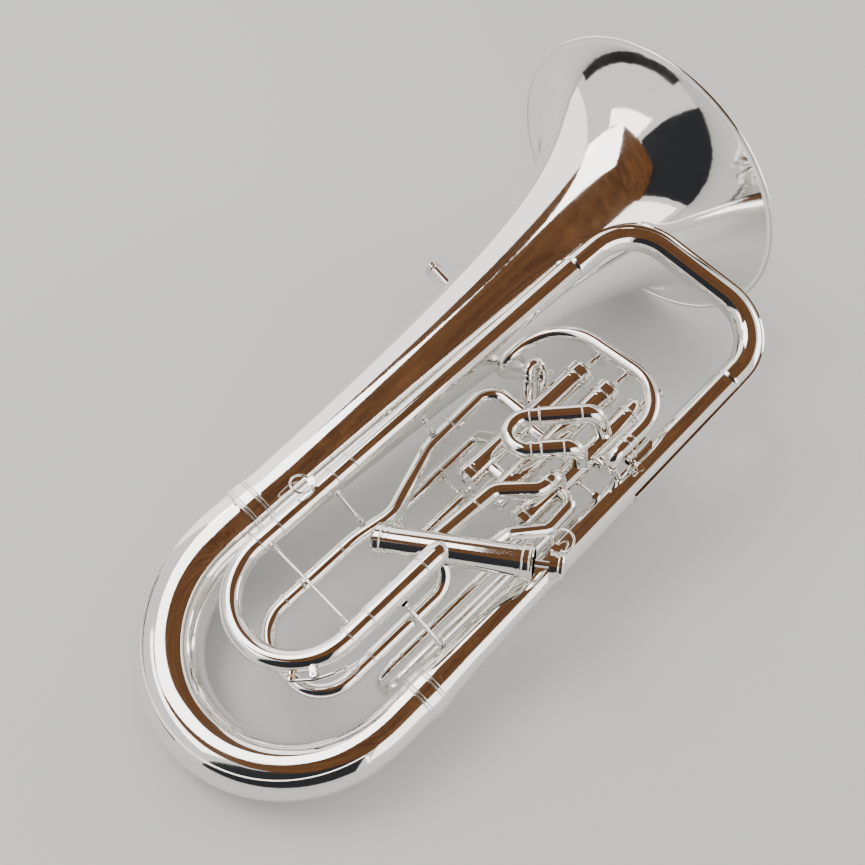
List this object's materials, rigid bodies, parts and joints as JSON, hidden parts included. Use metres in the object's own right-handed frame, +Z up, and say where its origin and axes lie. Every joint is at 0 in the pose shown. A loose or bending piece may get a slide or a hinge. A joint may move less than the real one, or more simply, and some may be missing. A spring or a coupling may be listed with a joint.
{
  "type": "compensating tenor tuba (euphonium)",
  "caption": "Silver-plated tenor tuba lying on its back: conical bell, three top valves, a side fourth valve, pull-out slides, water key and leadpipe.",
  "frame": {"origin": "centre of the bounding box on the ground plane", "axes": "+Z up from the ground it lies on, +Y towards the bell mouth, +X from the bell towards the outer branch"},
  "size_m": [0.387, 0.6723, 0.2962],
  "materials": {
    "silver": "polished silver plate",
    "piston_metal": "honed nickel",
    "spring_steel": "drawn wire",
    "pearl": "polished shell",
    "cork": "cut cork"
  },
  "bodies": {
    "horn": {"bell": "silver", "bell_rim_wire": "silver", "bell_ferrule": "silver", "bottom_bow": "silver", "bottom_bow_guard": "silver", "branch_ferrule": "silver", "outer_branch": "silver", "top_bow": "silver", "top_bow_guard": "silver", "inner_branch": "silver", "tuning_sleeves": "silver", "leadpipe": "silver", "mouthpiece_receiver": "silver", "first_sleeves": "silver", "second_sleeves": "silver", "third_sleeves": "silver", "fourth_tubing": "silver", "compensating_sleeves": "silver", "linking_tubes": "silver", "stays": "silver", "strap_rings": "silver", "lyre_socket": "silver", "casing_1": "silver", "casing_2": "silver", "casing_3": "silver", "casing_4": "silver", "top_caps": "silver", "bottom_caps": "silver", "spring_1": "spring_steel", "spring_2": "spring_steel", "spring_3": "spring_steel", "spring_4": "spring_steel"},
    "valve_1": {"piston_1": "piston_metal", "button_1": "silver", "pearl_1": "pearl"},
    "valve_2": {"piston_2": "piston_metal", "button_2": "silver", "pearl_2": "pearl"},
    "valve_3": {"piston_3": "piston_metal", "button_3": "silver", "pearl_3": "pearl"},
    "valve_4": {"piston_4": "piston_metal", "button_4": "silver", "pearl_4": "pearl"},
    "tuning_slide": {"main_tuning_slide": "silver", "tuning_slide_brace": "silver", "key_pin": "spring_steel", "key_spring": "spring_steel"},
    "water_key": {"water_key": "silver", "key_cork": "cork"},
    "first_slide": {"first_slide": "silver"},
    "second_slide": {"second_slide": "silver"},
    "third_slide": {"third_slide": "silver"},
    "fourth_slide": {"fourth_slide": "silver"},
    "compensating_slide": {"compensating_slide": "silver"},
    "lyre_screw": {"lyre_screw": "silver"}
  },
  "joints": [
    {"name": "valve_1_press", "type": "slide", "parent": "horn", "child": "valve_1", "axis": [0, -0.9805, -0.1966], "range_m": [0, 0.016], "stiffness_N_per_m": 200, "springref_m": -0.012, "deforming": ["spring_1"]},
    {"name": "valve_2_press", "type": "slide", "parent": "horn", "child": "valve_2", "axis": [0, -0.9805, -0.1966], "range_m": [0, 0.016], "stiffness_N_per_m": 200, "springref_m": -0.012, "deforming": ["spring_2"]},
    {"name": "valve_3_press", "type": "slide", "parent": "horn", "child": "valve_3", "axis": [0, -0.9805, -0.1966], "range_m": [0, 0.016], "stiffness_N_per_m": 200, "springref_m": -0.012, "deforming": ["spring_3"]},
    {"name": "valve_4_press", "type": "slide", "parent": "horn", "child": "valve_4", "axis": [-0.8319, -0.5441, -0.1091], "range_m": [0, 0.016], "stiffness_N_per_m": 200, "springref_m": -0.012, "deforming": ["spring_4"]},
    {"name": "tuning_slide_pull", "type": "slide", "parent": "horn", "child": "tuning_slide", "axis": [0, -0.9805, -0.1966], "range_m": [0, 0.045]},
    {"name": "first_slide_pull", "type": "slide", "parent": "horn", "child": "first_slide", "axis": [-0.7001, -0.7001, -0.1404], "range_m": [0, 0.016]},
    {"name": "second_slide_pull", "type": "slide", "parent": "horn", "child": "second_slide", "axis": [-0.4536, 0.395, 0.7989], "range_m": [0, 0.01]},
    {"name": "third_slide_pull", "type": "slide", "parent": "horn", "child": "third_slide", "axis": [0, -0.9805, -0.1966], "range_m": [0, 0.04]},
    {"name": "fourth_slide_pull", "type": "slide", "parent": "horn", "child": "fourth_slide", "axis": [0, -0.9805, -0.1966], "range_m": [0, 0.024]},
    {"name": "compensating_slide_pull", "type": "slide", "parent": "horn", "child": "compensating_slide", "axis": [0, -0.9805, -0.1966], "range_m": [0, 0.016]},
    {"name": "water_key_lever", "type": "hinge", "parent": "tuning_slide", "child": "water_key", "pos_m": [0.11884, -0.23644, 0.08842], "axis": [0, -0.1966, 0.9805], "range_deg": [0, 9], "stiffness_Nm_per_rad": 0.05, "springref_deg": -11.46},
    {"name": "lyre_screw_turn", "type": "hinge", "parent": "horn", "child": "lyre_screw", "pos_m": [0.15824, 0.05133, 0.11755], "axis": [1, 0, 0], "continuous": true}
  ]
}
